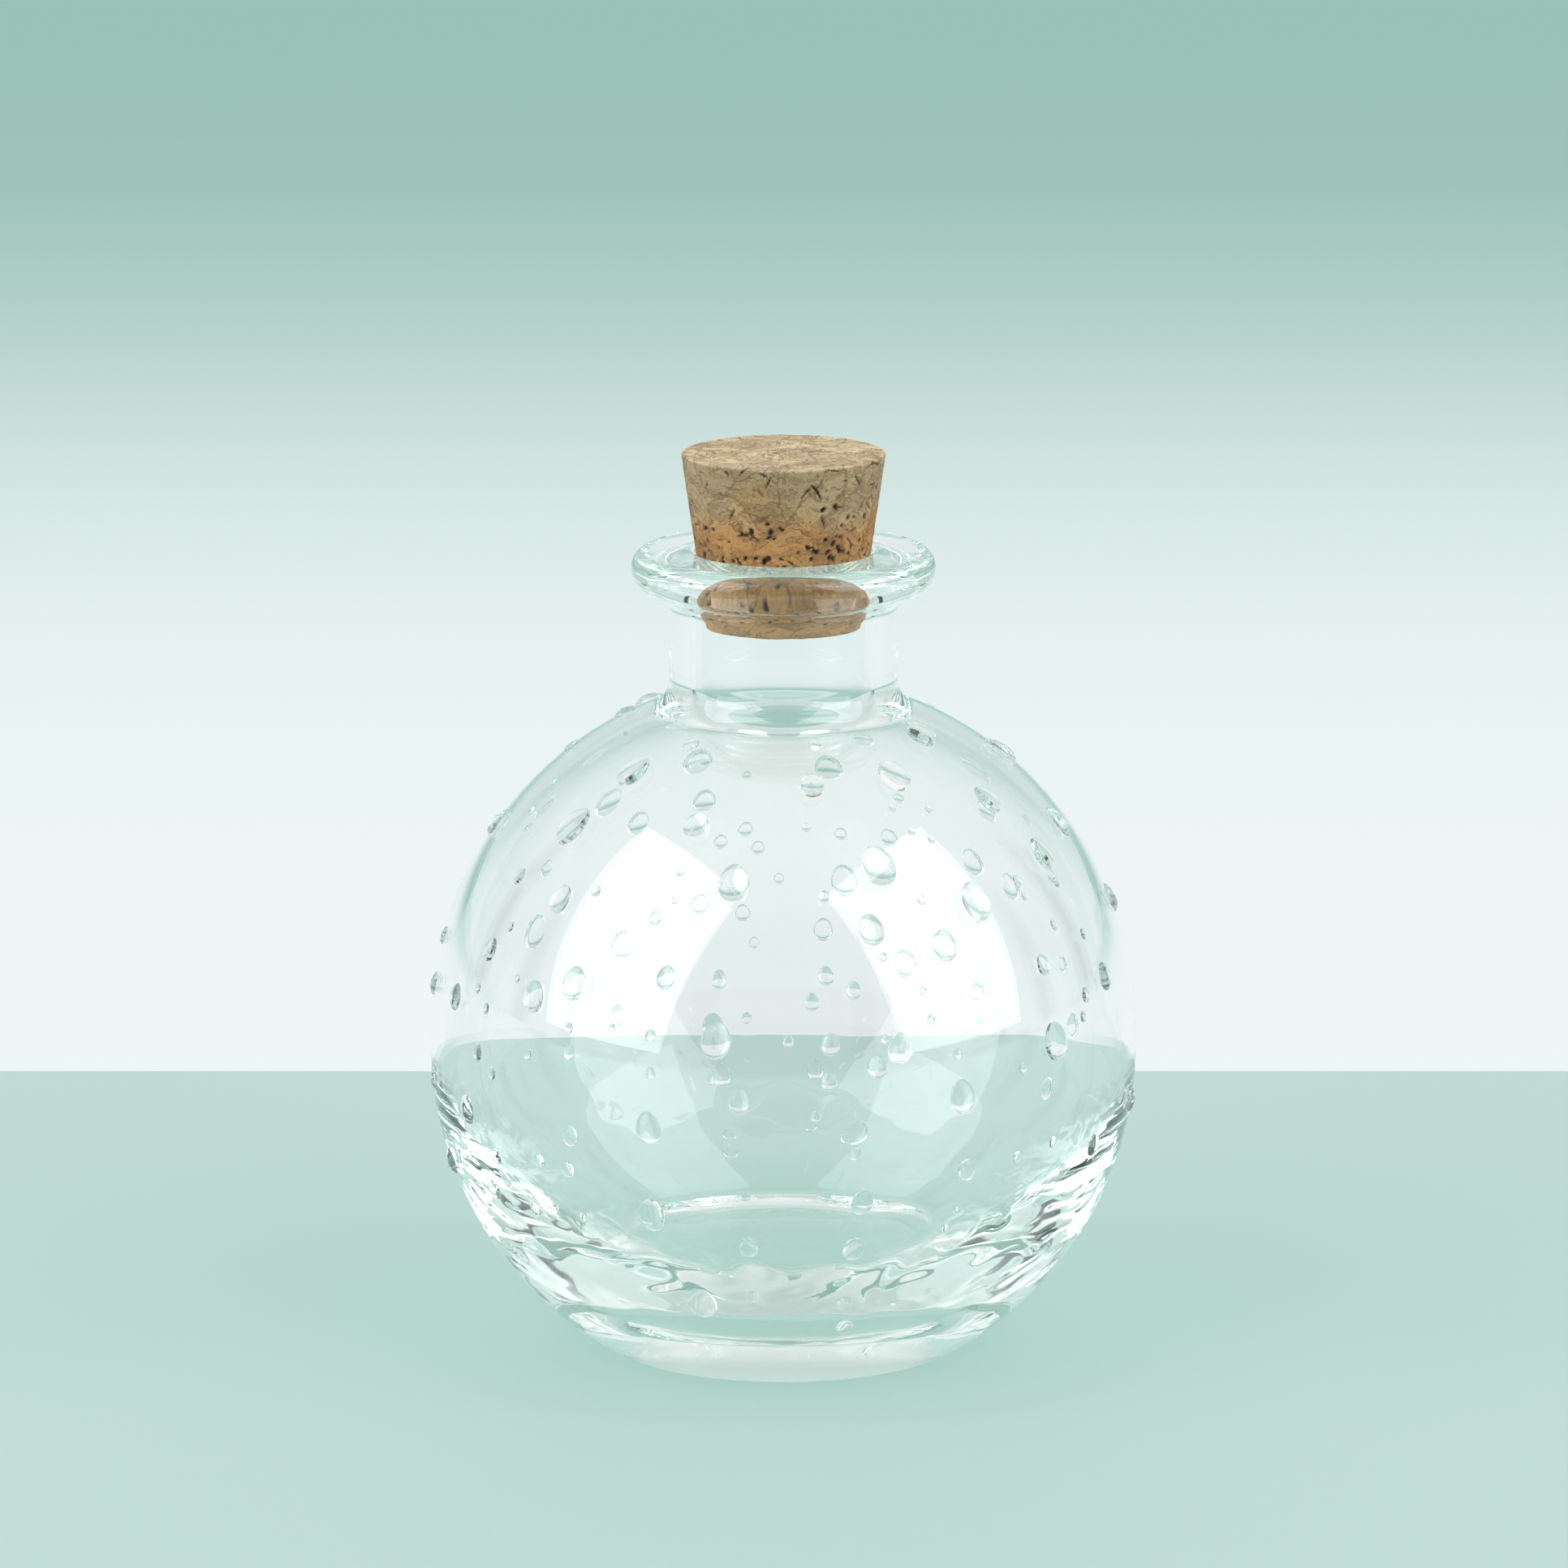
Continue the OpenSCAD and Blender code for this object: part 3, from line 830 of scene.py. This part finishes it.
            # The dark share is partly bark in the mark and partly painted shade, deepest in its middle.
            dark = np.maximum(dark, np.clip(reach * self.mark_dark, 0, 1))
        grain = noise_at(places, self.rough_mm, 1.0) + noise_at(places, self.rough_fine_mm, 5.0) / 2 - 0.8
        cut = np.minimum(self.rough * grain, 0.0) - depth
        move_mesh(piece, places + mesh_normals(piece) * cut[:, None])
        pit = piece.data.attributes.new("pit", "FLOAT", "POINT")
        pit.data.foreach_set("value", dark.astype(np.float32))
        piece.data.materials.append(PunchedCork(self.top_z, self.base_z).make())
        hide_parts("cork_stopper")
        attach(piece, "stopper")
        log.info("cork_plug: %d faces", len(piece.data.polygons))


@dataclass
class Studio:
    """The camera, the table with its straight back edge, the paper behind it, and the lights.

    The paper and the room show at their own brightness in the picture, in gloss and through glass,
    and give only a plain level of light to matt surfaces.
    """

    camera_place: tuple[float, float, float] = (0.07, -950.0, 284.3)
    look_down: float = 12.795
    lens: float = 184.64
    far: float = 100.0
    table_edge: float = 123.0
    reach: float = 9000.0
    paper_from: float = 100.0
    paper_to: float = 1300.0
    room_light: float = 0.5
    softbox_place: tuple[float, float, float] = (930.0, -510.0, 712.0)
    softbox_wide: float = 1100.0
    softbox_high: float = 1400.0
    softbox_power: float = 12.0
    softbox_aim: float = 50.0
    flags: tuple[Point, ...] = ((24.0, 31.0), (72.0, 77.0), (94.0, 100.0), (119.0, 124.0))
    flag_edge: float = 1.5
    flag_low: float = 0.3
    flag_high: float = 0.6
    bounces: int = 64

    def camera(self) -> None:
        """Sets up the camera at the photograph's angle."""
        data = bpy.data.cameras.new("camera")
        data.lens = self.lens
        data.clip_end = self.far
        eye = bpy.data.objects.new("camera", data)
        eye.location = [c * MM for c in self.camera_place]
        eye.rotation_euler = (math.radians(90 - self.look_down), 0.0, 0.0)
        bpy.context.scene.collection.objects.link(eye)
        bpy.context.scene.camera = eye

    def light_paths(self) -> None:
        """Lets light turn often enough inside the glass, where it would end as black otherwise.

        A ray that a drop or the base bends into the wall runs round in it for a long way.
        """
        cycles = bpy.context.scene.cycles
        cycles.max_bounces = cycles.transmission_bounces = cycles.glossy_bounces = self.bounces

    def sheet(self, name: str, y_from: float, y_to: float, material: bpy.types.Material) -> None:
        """Lays a flat sheet across the room at the height of the table.

        Args:
            name: the sheet's name.
            y_from: its near edge in millimetres.
            y_to: its far edge in millimetres.
            material: what it is made of.
        """
        bpy.ops.object.select_all(action="DESELECT")
        bpy.ops.mesh.primitive_plane_add(size=1, location=(0, 0, 0))
        sheet = bpy.context.object
        sheet.name = name
        for vertex in sheet.data.vertices:
            vertex.co.x *= 2 * self.reach * MM
            vertex.co.y = (y_to if vertex.co.y > 0 else y_from) * MM
        sheet.data.materials.append(material)

    def away(self, tree: bpy.types.NodeTree, near: float, far: float) -> bpy.types.NodeSocket:
        """How far away a place is, as a share from the near to the far line in millimetres."""
        place = add(tree, "ShaderNodeTexCoord").outputs["Object"]
        depth = add(tree, "ShaderNodeSeparateXYZ", {"Vector": place}).outputs["Y"]
        return add(tree, "ShaderNodeMapRange", {
            "Value": depth, "From Min": near * MM, "From Max": far * MM}).outputs["Result"]

    def table(self) -> bpy.types.Material:
        """The matt mint table top, a little paler towards the camera."""
        material, tree = new_material("table_top_matt_paint")
        share = self.away(tree, self.table_edge, -self.table_edge)
        tone = ramp(tree, share, [(0.0, linear(Shade.TABLE)), (1.0, linear(Shade.TABLE_NEAR))])
        shader = add(tree, "ShaderNodeBsdfPrincipled", {"Base Color": tone, "Roughness": 0.6})
        add(tree, "ShaderNodeOutputMaterial", {"Surface": shader.outputs["BSDF"]})
        return material

    def paper(self) -> bpy.types.Material:
        """The paper behind the table: white near the edge and mint far away."""
        material, tree = new_material("background_paper")
        share = self.away(tree, self.paper_from, self.paper_to)
        tone = ramp(tree, share, [(0.0, linear(Shade.PAPER_WHITE)), (0.24, linear(Shade.PAPER_PALE)),
                                  (0.38, linear(Shade.PAPER_MIST)), (0.54, linear(Shade.PAPER_GREEN)),
                                  (0.72, linear(Shade.PAPER_MINT))], interpolation="B_SPLINE")
        glow = add(tree, "ShaderNodeEmission", {"Color": tone})
        matt = add(tree, "ShaderNodeBsdfDiffuse", {"Color": tone})
        mixed = add(tree, "ShaderNodeMixShader", {
            0: seen_rays(tree), 1: matt.outputs["BSDF"], 2: glow.outputs["Emission"]})
        add(tree, "ShaderNodeOutputMaterial", {"Surface": mixed.outputs["Shader"]})
        return material

    def flagged(self, tree: bpy.types.NodeTree, parts: bpy.types.Node) -> bpy.types.NodeSocket:
        """A socket that is 1 on the narrow dark flags, which stand upright at both sides of the room.

        Args:
            tree: the room's node tree.
            parts: the node that gives the direction's X, Y and Z.

        Returns:
            The socket.
        """
        aside = add(tree, "ShaderNodeMath", {0: parts.outputs["X"]}, operation="ABSOLUTE").outputs[0]
        ahead = add(tree, "ShaderNodeMath", {0: parts.outputs["Y"], 1: -1.0}, operation="MULTIPLY").outputs[0]
        turned = add(tree, "ShaderNodeMath", {0: aside, 1: ahead}, operation="ARCTAN2").outputs[0]
        share = add(tree, "ShaderNodeMath", {0: turned, 1: math.pi}, operation="DIVIDE").outputs[0]
        stops: list[tuple[float, Colour]] = []
        for start, end in self.flags:
            stops += [((start - self.flag_edge) / 180, grey(0.0)), (start / 180, grey(1.0)),
                      (end / 180, grey(1.0)), ((end + self.flag_edge) / 180, grey(0.0))]
        below = add(tree, "ShaderNodeMapRange", {
            "Value": parts.outputs["Z"], "From Min": self.flag_high,
            "From Max": self.flag_low}).outputs["Result"]
        return add(tree, "ShaderNodeMath", {0: ramp(tree, share, stops), 1: below},
                   operation="MULTIPLY").outputs[0]

    def room(self) -> None:
        """The room: pale all round and a little darker behind the camera, with narrow dark flags."""
        world = bpy.data.worlds.new("room")
        world.use_nodes = True
        tree = world.node_tree
        tree.nodes.clear()
        way = add(tree, "ShaderNodeTexCoord").outputs["Generated"]
        parts = add(tree, "ShaderNodeSeparateXYZ", {"Vector": way})
        sky = ramp(tree, parts.outputs["Z"], [
            (0.0, linear(Shade.PAPER_MIST)), (0.25, linear(Shade.ROOM_SIDE)), (0.8, linear(Shade.ROOM_TOP))])
        front = add(tree, "ShaderNodeMapRange", {
            "Value": parts.outputs["Y"], "From Min": -0.3, "From Max": -0.85},
            interpolation_type="SMOOTHSTEP").outputs["Result"]
        walls = add(tree, "ShaderNodeMix", {"Factor": front, 6: sky, 7: linear(Shade.ROOM_FRONT)},
                    data_type="RGBA").outputs[2]
        seen = add(tree, "ShaderNodeMix", {
            "Factor": self.flagged(tree, parts), 6: walls, 7: linear(Shade.FLAG)},
            data_type="RGBA").outputs[2]
        level = add(tree, "ShaderNodeMath", {0: seen_rays(tree), 1: 1 - self.room_light, 2: self.room_light},
                    operation="MULTIPLY_ADD").outputs[0]
        glow = add(tree, "ShaderNodeBackground", {"Color": seen, "Strength": level})
        add(tree, "ShaderNodeOutputWorld", {"Surface": glow.outputs["Background"]})
        bpy.context.scene.world = world

    def softbox(self, name: str, side: int) -> None:
        """Hangs a soft lamp that faces the bottle.

        Args:
            name: the lamp's name.
            side: -1 for the left and 1 for the right.
        """
        data = bpy.data.lights.new(name, "AREA")
        data.shape = "RECTANGLE"
        data.size, data.size_y = self.softbox_wide * MM, self.softbox_high * MM
        data.energy = self.softbox_power
        x, y, z = self.softbox_place
        lamp = bpy.data.objects.new(name, data)
        lamp.location = [side * x * MM, y * MM, z * MM]
        aim = Vector((0.0, 0.0, self.softbox_aim * MM)) - lamp.location
        lamp.rotation_mode = "QUATERNION"
        lamp.rotation_quaternion = aim.to_track_quat("-Z", "Y")
        bpy.context.scene.collection.objects.link(lamp)

    def build(self) -> None:
        """Sets up everything that is not the object."""
        self.camera()
        self.light_paths()
        self.sheet("table_top", -self.reach, self.table_edge, self.table())
        self.sheet("paper", self.table_edge, self.reach, self.paper())
        self.room()
        self.softbox("softbox_left", -1)
        self.softbox("softbox_right", 1)
        bpy.context.scene.view_settings.view_transform = "Standard"


def main() -> None:
    """Builds the studio and the three pieces."""
    logging.basicConfig(level=logging.INFO, format="%(message)s")
    Studio().build()
    bottle = GlassBottle()
    bottle.build()
    TaperedCork().build()
    WaterDrops(bottle).build()


if __name__ == "__main__":
    main()
